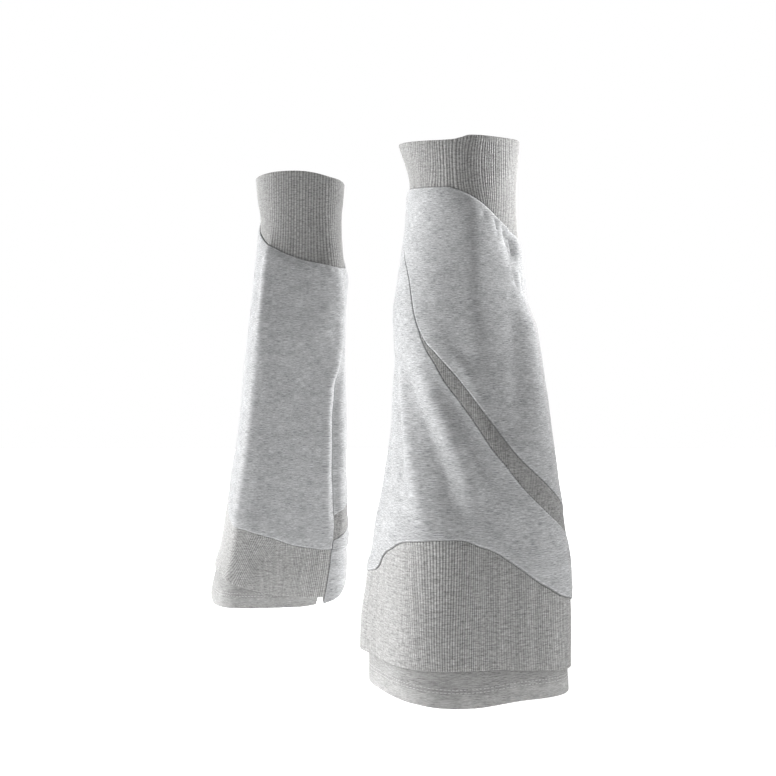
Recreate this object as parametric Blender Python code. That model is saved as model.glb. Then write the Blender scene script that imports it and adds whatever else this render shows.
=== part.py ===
"""A mirrored pair of flared leg warmers in sweatshirt jersey and rib knit.

Each leg warmer is seven cut pieces, and each piece is a closed wall as thick as its own cloth. The
walls follow the shape that the cloth takes round a leg: sections by height with soft folds added,
cut off along the seam lines that run round the leg.

Two kinds of angle are used, both in degrees. A draped angle is 0 at the front (-Y) and grows
towards +X. A cut angle is measured on the pattern from the middle of the wrap panel, and the
second leg warmer is cut as the mirror of the first. Lengths are in metres, and heights are above
the lowest hem until the last step puts the origin in the first cuff.
"""

import math
from dataclasses import dataclass

import bmesh
import bpy
import numpy as np

MM = 0.001

# Driving sizes
HOLD_HEIGHT = 445 * MM  # the middle of the cuff, where the leg holds it up
STRIDE_X = -183.5 * MM  # from the first leg warmer to the second, across
STRIDE_Y = 441 * MM  # and from front to back

# Cloth
JERSEY = 1.8 * MM  # brushed-back sweatshirt jersey
RIB = 2.0 * MM  # single rib knit, to the top of its ribs
CUFF_RIB = 3.0 * MM  # the cuff is rib knit folded double
RIB_RELIEF = 0.6 * MM  # from the bottom of a groove to the top of a rib
RIBS_A_STEP = 2  # ribs between two columns of points
SEAM_GAP = 0.35 * MM  # between two pieces along their seam
POINT_WIDTH = 1.5 * MM  # the wrap panel's point is cut off this wide

# How the layers stand on each other at the seams
BLOUSE = 3.5 * MM  # the body stands this far out from the cuff it is sewn to
BLOUSE_DROP = 9 * MM  # and takes this height to do so
STRIP_SETBACK = 0.7 * MM  # the strip lies this far behind the panels' faces
BAND_SETBACK = 1.4 * MM  # and the band this far
UNDER_SEAT = 0.4 * MM  # the under layer's top lies this near the band's inner face
UNDER_HANG = 0.9 * MM  # and its hem this much further in
UNDER_HANG_DROP = 40 * MM  # reached this far below its top
UNDER_TUCK = 4 * MM  # its top edge is this far under the band seam

# Cut angles
BACK_SEAM = 150.0  # the lengthwise seam
LEAN_REACH = 90.0  # how far to each side of it the cloth leans with it
WRAP_POINT = -87.0  # where the wrap panel's point meets the cuff
STRIP_START = -40.0  # where the rib strip opens between the panels
INSERT_START = 105.0  # where the band ends and the insert beside the lengthwise seam starts
SLIT_HALF = 2.2  # half of the width of the slit in the under layer's hem, just past that seam
SLIT_HEIGHT = 27 * MM
SLIT_STEP = 3 * MM  # from the top of the slit to the next row of points
END_GAP = 0.14  # from the lengthwise seam to each edge that meets there
SEAM_RADIUS = 48 * MM  # turns a small angle into a length along a seam
TURN = 360.0
SHARP_ANGLE = 40.0  # edges sharper than this aren't shaded smooth

# Shares of the way up each piece at which it has a row of points
CUFF_ROWS = (0, 0.5, 1)
UPPER_ROWS = (0, 0.14, 0.3, 0.46, 0.62, 0.77, 0.91, 1)
LOWER_ROWS = (0, 0.1, 0.21, 0.32, 0.44, 0.56, 0.68, 0.8, 0.91, 1)
BAND_ROWS = (0, 0.5, 1)

# Cloth colours: heather grey, the rib knit a little darker than the brushed jersey
JERSEY_COLOUR = (0.43, 0.435, 0.44)
RIB_COLOUR = (0.38, 0.38, 0.38)
CLOTH_ROUGHNESS = 0.95


def named(columns, rows):
    """A table's columns by name."""
    return dict(zip(columns, np.array(rows, float).T))


# Sections of the cuff's face by height. The body stands out from them by BLOUSE. The half-widths
# are along the section's own axes, which are turned towards +X.
FORM_COLUMNS = ("height", "centre_x", "left", "right", "front", "back", "squareness", "turn")

NEAR_FORM = named(
    FORM_COLUMNS,
    (
        (0.000, 0.004, 0.084, 0.082, 0.077, 0.077, 3.2, 18),
        (0.030, 0.003, 0.083, 0.082, 0.077, 0.077, 3.2, 18),
        (0.090, 0.004, 0.081, 0.081, 0.075, 0.075, 3.1, 17),
        (0.135, 0.005, 0.076, 0.077, 0.072, 0.072, 3.0, 15),
        (0.190, 0.005, 0.067, 0.070, 0.067, 0.067, 2.8, 12),
        (0.260, 0.004, 0.061, 0.063, 0.061, 0.061, 2.6, 8),
        (0.315, 0.001, 0.060, 0.060, 0.057, 0.057, 2.4, 4),
        (0.350, -0.003, 0.054, 0.053, 0.053, 0.053, 2.3, 2),
        (0.385, -0.003, 0.049, 0.050, 0.050, 0.050, 2.2, 0),
        (0.428, -0.003, 0.045, 0.047, 0.048, 0.048, 2.1, 0),
        (0.480, -0.006, 0.053, 0.053, 0.051, 0.051, 2.1, 0),
    ),
)

FAR_FORM = named(
    FORM_COLUMNS,
    (
        (0.000, -0.010, 0.076, 0.072, 0.081, 0.081, 3.8, 8),
        (0.030, -0.007, 0.073, 0.071, 0.081, 0.081, 3.8, 8),
        (0.060, -0.003, 0.068, 0.068, 0.078, 0.078, 3.8, 8),
        (0.110, 0.001, 0.064, 0.064, 0.073, 0.073, 3.7, 8),
        (0.150, 0.004, 0.060, 0.060, 0.069, 0.069, 3.6, 7),
        (0.205, 0.009, 0.057, 0.056, 0.064, 0.064, 3.5, 6),
        (0.260, 0.011, 0.053, 0.053, 0.060, 0.060, 3.3, 5),
        (0.315, 0.014, 0.051, 0.051, 0.056, 0.056, 3.0, 4),
        (0.368, 0.017, 0.048, 0.050, 0.051, 0.051, 2.7, 3),
        (0.422, 0.018, 0.045, 0.046, 0.047, 0.047, 2.2, 2),
        (0.450, 0.018, 0.048, 0.048, 0.048, 0.048, 2.1, 0),
        (0.480, 0.018, 0.051, 0.051, 0.050, 0.050, 2.1, 0),
    ),
)

# How far the lengthwise seam leans round the leg
LEAN = named(
    ("height", "angle"),
    ((0.000, 8), (0.060, 5), (0.100, 2), (0.190, 3), (0.235, 1), (0.275, -11), (0.335, -25), (0.480, -28)),
)

# A fold runs from its top to its foot, bowed sideways in between. Ridges stand out, troughs in.
FOLD_FADE = 0.7  # under 1, a fold is deep along more of its length
FOLD_COLUMNS = ("top_angle", "top_height", "foot_angle", "foot_height", "bow", "half_width", "depth")

NEAR_FOLDS = named(
    FOLD_COLUMNS,
    (
        (-76, 0.300, -34, 0.150, 2, 0.010, 0.0040),
        (-62, 0.275, -8, 0.145, 2, 0.011, -0.0048),
        (-42, 0.315, 4, 0.165, 2, 0.010, 0.0036),
        (-20, 0.262, 2, 0.190, 0, 0.008, -0.0018),
        (-92, 0.285, -98, 0.090, 2, 0.014, 0.0035),
        (-100, 0.115, -94, -0.020, 0, 0.022, 0.0055),
        (38, 0.410, 30, 0.220, -3, 0.012, 0.0022),
        (46, 0.408, 52, 0.378, 0, 0.007, -0.0022),
        (156, 0.400, 156, 0.070, 0, 0.006, 0.0020),
        (142, 0.390, 142, 0.080, 0, 0.007, -0.0030),
        (-150, 0.330, -170, 0.130, 4, 0.018, -0.0030),
        (-128, 0.300, -140, 0.120, 4, 0.014, 0.0025),
        (108, 0.300, 96, 0.120, 0, 0.016, 0.0025),
    ),
)

FAR_FOLDS = named(
    FOLD_COLUMNS,
    (
        (-128, 0.420, -130, -0.100, 0, 0.007, 0.0022),
        (156, 0.400, 156, 0.070, 0, 0.006, 0.0022),
        (142, 0.390, 142, 0.080, 0, 0.007, -0.0042),
        (-196, 0.330, -176, 0.180, 4, 0.016, -0.0018),
        (-60, 0.290, -28, 0.150, 4, 0.012, 0.0035),
        (-36, 0.280, -4, 0.150, 0, 0.013, -0.0040),
        (36, 0.400, 30, 0.230, -3, 0.012, 0.0022),
    ),
)

# Seam and hem lines by cut angle
LINE_COLUMNS = ("angle", "height")


@dataclass
class LegWarmer:
    """One of the pair: where it stands, how it is turned, and the lines it is cut along."""

    name: str
    place: tuple
    facing: float  # draped angle of cut angle 0
    side: int  # 1 as cut, -1 mirrored
    form: dict
    folds: dict
    cuff_top: dict
    cuff_seam: dict
    band_seam: dict
    band_hem: dict
    under_hem: dict


# The wrap panel's lower edge from its point to the back seam, and how far below it the strip ends
WRAP_EDGE = named(
    LINE_COLUMNS,
    (
        (-87, 0.425),
        (-80, 0.402),
        (-68, 0.380),
        (-58, 0.366),
        (-48, 0.345),
        (-40, 0.316),
        (-28, 0.298),
        (-4, 0.267),
        (18, 0.231),
        (46, 0.194),
        (68, 0.170),
        (90, 0.148),
        (120, 0.122),
        (150, 0.101),
    ),
)
STRIP_DROP = named(
    LINE_COLUMNS,
    ((-40, 0.002), (-32, 0.007), (-14, 0.0165), (20, 0.0195), (64, 0.0255), (150, 0.026)),
)

# The insert's hem, rising from the lengthwise seam
INSERT_HEM = named(LINE_COLUMNS, ((105, 0.0235), (122, 0.0265), (131, 0.020), (138, 0.0125), (150, 0.007)))

NEAR = LegWarmer(
    name="near",
    place=(0.0, 0.0),
    facing=0.0,
    side=1,
    form=NEAR_FORM,
    folds=NEAR_FOLDS,
    cuff_top=named(LINE_COLUMNS, ((-90, 0.4765), (-30, 0.477), (6, 0.481), (40, 0.480), (90, 0.479))),
    cuff_seam=named(
        LINE_COLUMNS,
        (
            (-90, 0.438),
            (-20, 0.438),
            (-8, 0.436),
            (3, 0.432),
            (16, 0.4255),
            (42, 0.408),
            (68, 0.395),
            (90, 0.387),
            (150, 0.376),
            (200, 0.385),
            (240, 0.412),
        ),
    ),
    band_seam=named(
        LINE_COLUMNS,
        (
            (-100, 0.102),
            (-86, 0.106),
            (-76, 0.112),
            (-71, 0.121),
            (-60, 0.129),
            (-35, 0.140),
            (-16, 0.142),
            (4, 0.136),
            (26, 0.121),
            (48, 0.100),
            (68, 0.087),
            (150, 0.066),
            (210, 0.078),
        ),
    ),
    band_hem=named(
        LINE_COLUMNS,
        ((-90, 0.034), (0, 0.0335), (40, 0.030), (70, 0.0255), (105, 0.0235), (150, 0.0145)),
    ),
    under_hem=named(
        LINE_COLUMNS,
        (
            (-90, 0.005),
            (-58, 0.006),
            (-34, 0.0045),
            (-18, 0.002),
            (0, 0.001),
            (38, 0.0045),
            (75, 0.004),
            (88, 0.006),
            (110, 0.028),
            (124, 0.030),
            (138, 0.016),
            (148, 0.0095),
            (155, 0.0055),
            (200, 0.0035),
        ),
    ),
)

FAR = LegWarmer(
    name="far",
    place=(STRIDE_X, STRIDE_Y),
    facing=195.0,
    side=-1,
    form=FAR_FORM,
    folds=FAR_FOLDS,
    cuff_top=named(LINE_COLUMNS, ((-81, 0.475), (0, 0.474), (112, 0.469), (169, 0.474), (209, 0.481))),
    cuff_seam=named(
        LINE_COLUMNS,
        (
            (-86, 0.433),
            (-60, 0.437),
            (0, 0.436),
            (45, 0.410),
            (90, 0.388),
            (125, 0.377),
            (156, 0.375),
            (189, 0.381),
            (212, 0.389),
            (226, 0.396),
            (244, 0.406),
            (256, 0.417),
        ),
    ),
    band_seam=named(
        LINE_COLUMNS,
        (
            (-60, 0.130),
            (-16, 0.141),
            (45, 0.104),
            (90, 0.078),
            (145, 0.066),
            (169, 0.069),
            (201, 0.080),
            (222, 0.088),
            (234, 0.092),
            (261, 0.113),
        ),
    ),
    band_hem=named(
        LINE_COLUMNS,
        ((-60, 0.036), (0, 0.033), (105, 0.0235), (150, 0.0145), (175, 0.0165), (218, 0.027), (245, 0.036)),
    ),
    under_hem=named(
        LINE_COLUMNS,
        (
            (-90, 0.003),
            (0, 0.003),
            (88, 0.006),
            (110, 0.028),
            (124, 0.030),
            (138, 0.016),
            (148, 0.0095),
            (155, 0.0060),
            (172, 0.0040),
            (210, 0.0035),
        ),
    ),
)


def smooth(stations, values, where):
    """A cubic through the values that never swings past them."""
    step = np.diff(stations)
    rise = np.diff(values) / step
    slope = np.zeros(len(values))
    steady = rise[:-1] * rise[1:] > 0
    slope[1:-1][steady] = 2 / (1 / rise[:-1][steady] + 1 / rise[1:][steady])
    slope[0], slope[-1] = rise[0], rise[-1]
    k = np.clip(np.searchsorted(stations, where) - 1, 0, len(step) - 1)
    t = (where - stations[k]) / step[k]
    start = values[k] + t * step[k] * slope[k]
    end = values[k + 1] - (1 - t) * step[k] * slope[k + 1]
    ease = t * t * (3 - 2 * t)
    return start * (1 - ease) + end * ease


def round_line(line, angle):
    """The height of a line that closes on itself round the leg."""
    stations = np.concatenate([line["angle"] - TURN, line["angle"], line["angle"] + TURN])
    first = line["angle"][0]
    return smooth(stations, np.tile(line["height"], 3), np.mod(angle - first, TURN) + first)


def open_line(line, angle):
    """The height of a line that runs from its first angle to its last."""
    return smooth(line["angle"], line["height"], np.clip(angle, line["angle"][0], line["angle"][-1]))


def fold_relief(folds, angle, height, radius):
    """How far the folds move the cloth out at a cut angle and height."""
    relief = np.zeros(np.broadcast(angle, height).shape)
    for k in range(len(folds["depth"])):
        top, foot = folds["top_height"][k], folds["foot_height"][k]
        down = (top - height) / (top - foot)
        inside = np.clip(down, 0, 1)
        middle = folds["top_angle"][k] + (folds["foot_angle"][k] - folds["top_angle"][k]) * inside
        middle = middle + folds["bow"][k] * np.sin(math.pi * inside)
        aside = (angle - middle + TURN / 2) % TURN - TURN / 2
        across = np.radians(aside) * radius / folds["half_width"][k]
        fade = np.where((down > 0) & (down < 1), np.sin(math.pi * inside) ** FOLD_FADE, 0)
        relief = relief + folds["depth"][k] * fade * np.exp(-(across**2))
    return relief


def draped_face(leg, cut_angle, height, folded=True):
    """Points of the cloth's face at a cut angle and height, on the line of the cuff."""
    beside_seam = (cut_angle - BACK_SEAM + TURN / 2) % TURN - TURN / 2
    hold = np.cos(math.pi / 2 * np.clip(beside_seam / LEAN_REACH, -1, 1)) ** 2
    lean = smooth(LEAN["height"], LEAN["angle"], height) * hold
    angle = leg.facing + leg.side * (cut_angle + lean)
    form = {column: smooth(leg.form["height"], leg.form[column], height) for column in FORM_COLUMNS[1:]}
    turned = np.radians(angle - form["turn"])
    across = np.where(np.sin(turned) < 0, form["left"], form["right"])
    deep = np.where(np.cos(turned) < 0, form["back"], form["front"])
    power = form["squareness"]
    across, deep = abs(np.sin(turned)) / across, abs(np.cos(turned)) / deep
    radius = (across**power + deep**power) ** (-1 / power)
    if folded:
        radius = radius + fold_relief(leg.folds, cut_angle, height, radius)
    x = form["centre_x"] + radius * np.sin(np.radians(angle))
    y = -radius * np.cos(np.radians(angle))
    return np.stack([x, y, height + 0 * x], axis=-1)


def cloth(leg, cut_angle, height, outward, folded=True):
    """Points on the cloth at a cut angle and height, moved out along its normal."""
    cut_angle, height = np.asarray(cut_angle, float), np.asarray(height, float)
    turn_step, height_step = 0.5, 1 * MM

    def face(turned=0.0, raised=0.0):
        return draped_face(leg, cut_angle + turned, height + raised, folded)

    along = face(turned=turn_step) - face(turned=-turn_step)
    up = face(raised=height_step) - face(raised=-height_step)
    normal = np.cross(along, up) * leg.side
    normal /= np.linalg.norm(normal, axis=-1, keepdims=True)
    point = face() + normal * np.asarray(outward)[..., None]
    return point + [leg.place[0], leg.place[1], -HOLD_HEIGHT]


def blouse(leg, cut_angle, height):
    """How far the body stands out from the cuff's face."""
    below = np.clip(round_line(leg.cuff_seam, cut_angle) - height, 0, None)
    return BLOUSE * (1 - np.exp(-((below / BLOUSE_DROP) ** 2)))


def under_face(leg, cut_angle, height):
    """How far the under layer's face stands out, from its seat in the band down to its hem."""
    seat = BLOUSE - BAND_SETBACK - RIB - UNDER_SEAT
    top = round_line(leg.band_seam, cut_angle) - UNDER_TUCK
    hang = np.clip((top - height) / UNDER_HANG_DROP, 0, 1)
    return seat - UNDER_HANG * hang


def cloth_material(name, colour):
    """A matt Principled material of one colour."""
    material = bpy.data.materials.new(name)
    material.use_nodes = True
    shader = material.node_tree.nodes["Principled BSDF"]
    shader.inputs["Base Color"].default_value = (*colour, 1)
    shader.inputs["Roughness"].default_value = CLOTH_ROUGHNESS
    shader.inputs["Metallic"].default_value = 0
    return material


def wall(name, leg, columns, lines, face, thickness, ribs=0, folded=True):
    """A closed wall round the leg, with its ribs raised on the outer face.

    columns are cut angles, and lines are rows of heights there, from the lower edge to the upper
    one. ribs is the number of ribs between two columns.
    """
    closed = abs(columns[-1] - columns[0] - TURN) < 1e-6
    per_step = max(2 * ribs, 1)
    steps = len(columns) - 1
    fine = np.arange(steps * per_step + 1) / per_step
    fine_columns = np.interp(fine, np.arange(steps + 1), columns)
    inner_height = np.transpose(lines)
    outer_height = np.transpose([np.interp(fine, np.arange(steps + 1), line) for line in lines])
    if closed:
        columns, inner_height = columns[:-1], inner_height[:-1]
        fine_columns, outer_height = fine_columns[:-1], outer_height[:-1]
    outer_out = face(fine_columns[:, None], outer_height)
    inner_out = face(columns[:, None], inner_height) - thickness
    if ribs:
        outer_out[::2] -= RIB_RELIEF
    outer = cloth(leg, fine_columns[:, None] + 0 * outer_height, outer_height, outer_out, folded)
    inner = cloth(leg, columns[:, None] + 0 * inner_height, inner_height, inner_out, folded)

    mesh = bmesh.new()
    outside = [[mesh.verts.new(point) for point in column] for column in outer]
    inside = [[mesh.verts.new(point) for point in column] for column in inner]
    if closed:
        outside.append(outside[0])
        inside.append(inside[0])
    for grid in (outside, inside):
        for left, right in zip(grid[:-1], grid[1:]):
            for row in range(len(lines) - 1):
                mesh.faces.new((left[row], right[row], right[row + 1], left[row + 1]))
    for row in (0, -1):
        for step in range(steps):
            near, next_near = inside[step][row], inside[step + 1][row]
            edge = [outside[step * per_step + k][row] for k in range(per_step + 1)]
            half = per_step // 2
            for k in range(per_step):
                mesh.faces.new((near if k < half else next_near, edge[k], edge[k + 1]))
            mesh.faces.new((near, next_near, edge[half]))
    if not closed:
        for end in (0, -1):
            for row in range(len(lines) - 1):
                corners = (outside[end][row], outside[end][row + 1], inside[end][row + 1], inside[end][row])
                mesh.faces.new(corners)
    bmesh.ops.recalc_face_normals(mesh, faces=mesh.faces[:])
    data = bpy.data.meshes.new(name)
    mesh.to_mesh(data)
    mesh.free()
    data.shade_smooth()
    data.set_sharp_from_angle(angle=math.radians(SHARP_ANGLE))
    data.materials.append(cloth_material(name, RIB_COLOUR if ribs else JERSEY_COLOUR))
    piece = bpy.data.objects.new(name, data)
    bpy.context.scene.collection.objects.link(piece)
    return piece


def grid_columns():
    """Cut angles shared by every piece, so that neighbours' edges follow the same corners."""
    slit_end = BACK_SEAM - TURN + 2 * SLIT_HALF
    corners = (BACK_SEAM - TURN, slit_end, WRAP_POINT, STRIP_START, INSERT_START, BACK_SEAM)
    steps = (2, 14, 9, 22, 6)
    parts = [
        np.linspace(start, end, count, endpoint=False)
        for start, end, count in zip(corners[:-1], corners[1:], steps)
    ]
    return np.concatenate(parts + [[BACK_SEAM]])


def edge_gap(columns, heights):
    """Half of the seam gap, measured upright, so that a slanting seam keeps its gap."""
    slope = np.gradient(heights, np.radians(columns) * SEAM_RADIUS)
    return SEAM_GAP / 2 * np.sqrt(1 + slope**2)


def between(lower, upper, shares):
    """Lines at shares of the way from a lower line to an upper one."""
    return np.array([lower + (upper - lower) * share for share in shares])


def make_leg_warmer(leg):
    """The seven pieces of one leg warmer."""
    columns = grid_columns()
    cuff_seam = round_line(leg.cuff_seam, columns)
    cuff_gap = edge_gap(columns, cuff_seam)
    band_seam = round_line(leg.band_seam, columns)
    band_gap = edge_gap(columns, band_seam)
    wrap_edge = open_line(WRAP_EDGE, columns)
    point = np.searchsorted(columns, WRAP_POINT)
    wrap_edge[point] = cuff_seam[point] - POINT_WIDTH
    wrap_gap = edge_gap(columns, wrap_edge)
    strip = columns >= STRIP_START - 1e-6
    strip_foot = wrap_edge - open_line(STRIP_DROP, columns)

    insert = np.searchsorted(columns, INSERT_START - 1e-6)

    # The panels, the strip, the band and the insert stop short of the lengthwise seam
    open_columns = columns.copy()
    open_columns[0] += END_GAP
    open_columns[-1] -= END_GAP
    panel_top = np.where(strip, strip_foot - wrap_gap, wrap_edge - wrap_gap)
    panel_top[:point] = (cuff_seam - cuff_gap)[:point]

    def jersey_face(angle, height):
        return blouse(leg, angle, height)

    wall(
        f"{leg.name}_rib_cuff",
        leg,
        columns,
        between(cuff_seam + cuff_gap, round_line(leg.cuff_top, columns), CUFF_ROWS),
        lambda angle, height: 0 * height,
        CUFF_RIB,
        ribs=RIBS_A_STEP,
    )
    wall(
        f"{leg.name}_upper_panel",
        leg,
        open_columns[point:],
        between(wrap_edge + wrap_gap, cuff_seam - cuff_gap, UPPER_ROWS)[:, point:],
        jersey_face,
        JERSEY,
    )
    wall(
        f"{leg.name}_rib_strip",
        leg,
        open_columns[strip],
        between(strip_foot + wrap_gap, wrap_edge - wrap_gap, (0, 1))[:, strip],
        lambda angle, height: blouse(leg, angle, height) - STRIP_SETBACK,
        JERSEY,
        ribs=RIBS_A_STEP,
    )
    wall(
        f"{leg.name}_lower_panel",
        leg,
        open_columns,
        between(band_seam + band_gap, panel_top, LOWER_ROWS),
        jersey_face,
        JERSEY,
    )
    band_columns = open_columns[: insert + 1].copy()
    band_columns[-1] -= END_GAP
    band_lines = between(round_line(leg.band_hem, columns), band_seam - band_gap, BAND_ROWS)
    wall(
        f"{leg.name}_rib_band",
        leg,
        band_columns,
        band_lines[:, : insert + 1],
        lambda angle, height: BLOUSE - BAND_SETBACK + 0 * height,
        RIB,
        ribs=RIBS_A_STEP,
    )
    insert_columns = open_columns[insert:].copy()
    insert_columns[0] += END_GAP
    wall(
        f"{leg.name}_side_insert",
        leg,
        insert_columns,
        between(open_line(INSERT_HEM, columns), band_seam - band_gap, BAND_ROWS)[:, insert:],
        lambda angle, height: BLOUSE - BAND_SETBACK + 0 * height,
        JERSEY,
    )
    under_hem = round_line(leg.under_hem, columns)
    under_hem[1] += SLIT_HEIGHT
    seated = band_lines.copy()
    seated[0] = np.maximum(seated[0], under_hem + SLIT_STEP)
    seated[-1] -= UNDER_TUCK
    wall(
        f"{leg.name}_under_layer",
        leg,
        columns,
        np.vstack([under_hem, seated]),
        lambda angle, height: under_face(leg, angle, height),
        JERSEY,
        folded=False,
    )


def main():
    for old in list(bpy.data.objects):
        bpy.data.objects.remove(old)
    for leg in (NEAR, FAR):
        make_leg_warmer(leg)


main()
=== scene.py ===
"""Dresses a pair of flared leg warmers in brushed sweatshirt jersey and rib knit.

Each leg warmer is seven cut pieces on the frame's form, and each piece is a closed wall as thick as
its own cloth, with rolled seam edges, folds and, where it is rib knit, every rib. Two kinds of angle
are used, both in degrees. A draped angle is 0 at the front (-Y) and grows towards +X. A cut angle is
measured on the pattern from the middle of the wrap panel, and the second leg warmer is cut as the
mirror of the first. Lengths are in metres, and heights are above the lowest hem until the last step
puts the origin in the first cuff.
"""

import math
from dataclasses import dataclass

import bpy
import numpy as np
from bpy.props import FloatProperty, FloatVectorProperty, IntProperty, PointerProperty
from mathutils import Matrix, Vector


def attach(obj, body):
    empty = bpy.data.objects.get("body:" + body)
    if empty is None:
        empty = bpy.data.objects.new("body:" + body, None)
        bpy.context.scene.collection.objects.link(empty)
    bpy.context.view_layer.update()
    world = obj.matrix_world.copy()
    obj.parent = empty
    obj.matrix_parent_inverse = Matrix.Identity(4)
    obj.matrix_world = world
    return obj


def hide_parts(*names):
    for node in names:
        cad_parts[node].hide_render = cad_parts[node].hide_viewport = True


bl_info = {
    "name": "Flared leg warmers",
    "version": (1, 0, 0),
    "blender": (4, 5, 0),
    "location": "3D View > Sidebar > Leg warmers",
    "description": "Dresses a pair of flared leg warmers in sweatshirt jersey and rib knit",
    "category": "Add Mesh",
}

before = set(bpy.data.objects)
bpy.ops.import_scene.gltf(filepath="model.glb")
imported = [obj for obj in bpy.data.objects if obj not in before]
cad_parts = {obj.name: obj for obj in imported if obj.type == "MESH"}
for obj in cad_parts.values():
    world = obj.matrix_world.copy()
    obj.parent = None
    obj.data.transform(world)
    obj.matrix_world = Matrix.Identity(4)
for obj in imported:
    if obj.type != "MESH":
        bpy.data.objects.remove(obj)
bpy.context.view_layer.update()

MM = 0.001
TURN = 360.0

# How the pair stands
HOLD_HEIGHT = 445 * MM  # the middle of the cuff, where the leg holds it up
STRIDE = (-183.5 * MM, 441 * MM)  # from the first leg warmer to the second
FLOOR_DROP = HOLD_HEIGHT + 80 * MM  # from the origin: a shod foot stands about 80 mm below the hem

# How the layers stand on each other at the seams
BLOUSE = 3.5 * MM  # the body stands this far out from the cuff it is sewn to
BLOUSE_HELD = 0.55  # the seam holds this share of it back
BLOUSE_DROP = 5 * MM  # and lets it go over this height
STRIP_SETBACK = 0.7 * MM  # the strip lies this far behind the panels' faces
BAND_SETBACK = 1.4 * MM  # and the band this far
PUFF = 0.5 * MM  # the body puffs out this much just above the band
PUFF_RISE, PUFF_REACH = 10.5 * MM, 3.5 * MM  # this far above its seam, over this height
UNDER_SEAT = 0.4 * MM  # the under layer's top lies this near the band's inner face
UNDER_HANG = 0.9 * MM  # and its hem this much further in
UNDER_HANG_DROP = 40 * MM  # reached this far below its top
UNDER_TUCK = 4 * MM  # its top edge is this far under the band seam
CUFF_TUCK = 1.0 * MM  # the cuff goes this far under the panels
RIB_TUCK = 0.4 * MM  # and a strip or band this far
PANEL_GAP = 0.1 * MM  # from the line where two panels meet to each of their edges
POINT_WIDTH = 1.2 * MM  # the wrap panel's point is cut off this wide
UNEVEN, UNDER_UNEVEN = 0.3 * MM, 0.25 * MM  # how far worn cloth wavers

# The under layer's hem: its stitches' rows above the edge, and one stitch
STITCH_ROWS = (13.4 * MM, 16.2 * MM)
STITCH_LENGTH = 2.7 * MM
STITCH_GAP = 0.7 * MM
THREAD = 0.30 * MM  # half as thick as the thread
THREAD_LIFT = 0.06 * MM  # its middle stands this far off the cloth
HEM_FOLD = 0.25 * MM  # the hem's second layer stands this far out
STITCH_PRESS = 0.40 * MM  # and the stitches press it in this far
STITCH_SHADE, UNDER_BAND_SHADE = 0.22, 0.14  # how much painted shade darkens it there, and up under the band

# The panel is pinched under its seam at the shin's outer side, and little light gets in there
PINCH_ANGLE, PINCH_WIDTH = 52, 9.0
PINCH_DROP, PINCH_HEIGHT = 14 * MM, 9.5 * MM
PINCH_SHADE = 0.38

# Cut angles
BACK_SEAM = 150.0  # the lengthwise seam
LEAN_REACH = 90.0  # how far to each side of it the cloth leans with it
WRAP_POINT = -87.0  # where the wrap panel's point meets the cuff
STRIP_START = -40.0  # where the rib strip opens between the panels
INSERT_START = 105.0  # where the band ends and the insert beside the lengthwise seam starts
SLIT_MIDDLE = -207.8  # the slit in the under layer's hem
SLIT_HALF = 2.2
SLIT_HEIGHT = 27 * MM
END_GAP = 0.10  # from a lengthwise seam to each edge that meets there
SEAM_RADIUS = 60 * MM  # turns a small angle into a length along a seam

# How finely the walls are made
CUFF_RIB_POINTS = 7  # columns of points across one rib
RIB_POINTS = 5
JERSEY_STEP, UNDER_STEP = 1.3, 1.25  # cut angles from one column of points to the next
EDGE_STEPS = np.array([0, 0.04, 0.12, 0.26, 0.45, 0.7, 1.0])  # rows of points across a rolled edge
EDGE_ROOM = 1.15  # a wall too low for its two rolled edges has them this much smaller
NORMAL_TURN, NORMAL_RISE = 0.5, 1 * MM  # how far to each side a normal is measured

# Painted shade and highlight at a seam's edge, by how near it is: 0 where the roll starts and 1 at its end
DITCH_START, DITCH_RUN = 0.55, 0.4  # painted shade darkens it from here, over this
HIGHLIGHT_PLACE, HIGHLIGHT_WIDTH = 0.3, 0.2  # and a painted highlight makes it paler here, where the rolled edge catches the light
PAINTED_HIGHLIGHT = 0.28  # by this much
RIB_INSIDE_TONE = 0.6


def named(columns, rows):
    """A table's columns by name."""
    return dict(zip(columns, np.array(rows, float).T))


# Sections of the cuff's face by height. The body stands out from them by BLOUSE. The half-widths
# are along the section's own axes, which are turned towards +X.
FORM_COLUMNS = ("height", "centre_x", "left", "right", "deep", "squareness", "turn")

NEAR_FORM = named(FORM_COLUMNS, (
    (0.000, 0.004, 0.084, 0.082, 0.077, 3.2, 18),
    (0.030, 0.003, 0.083, 0.082, 0.077, 3.2, 18),
    (0.090, 0.004, 0.081, 0.081, 0.075, 3.1, 17),
    (0.135, 0.005, 0.076, 0.077, 0.072, 3.0, 15),
    (0.190, 0.005, 0.067, 0.070, 0.067, 2.8, 12),
    (0.260, 0.004, 0.061, 0.063, 0.061, 2.6, 8),
    (0.315, 0.001, 0.060, 0.060, 0.057, 2.4, 4),
    (0.350, -0.003, 0.054, 0.053, 0.053, 2.3, 2),
    (0.385, -0.003, 0.049, 0.050, 0.050, 2.2, 0),
    (0.428, -0.003, 0.045, 0.047, 0.048, 2.1, 0),
    (0.480, -0.006, 0.053, 0.053, 0.051, 2.1, 0),
))

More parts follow.
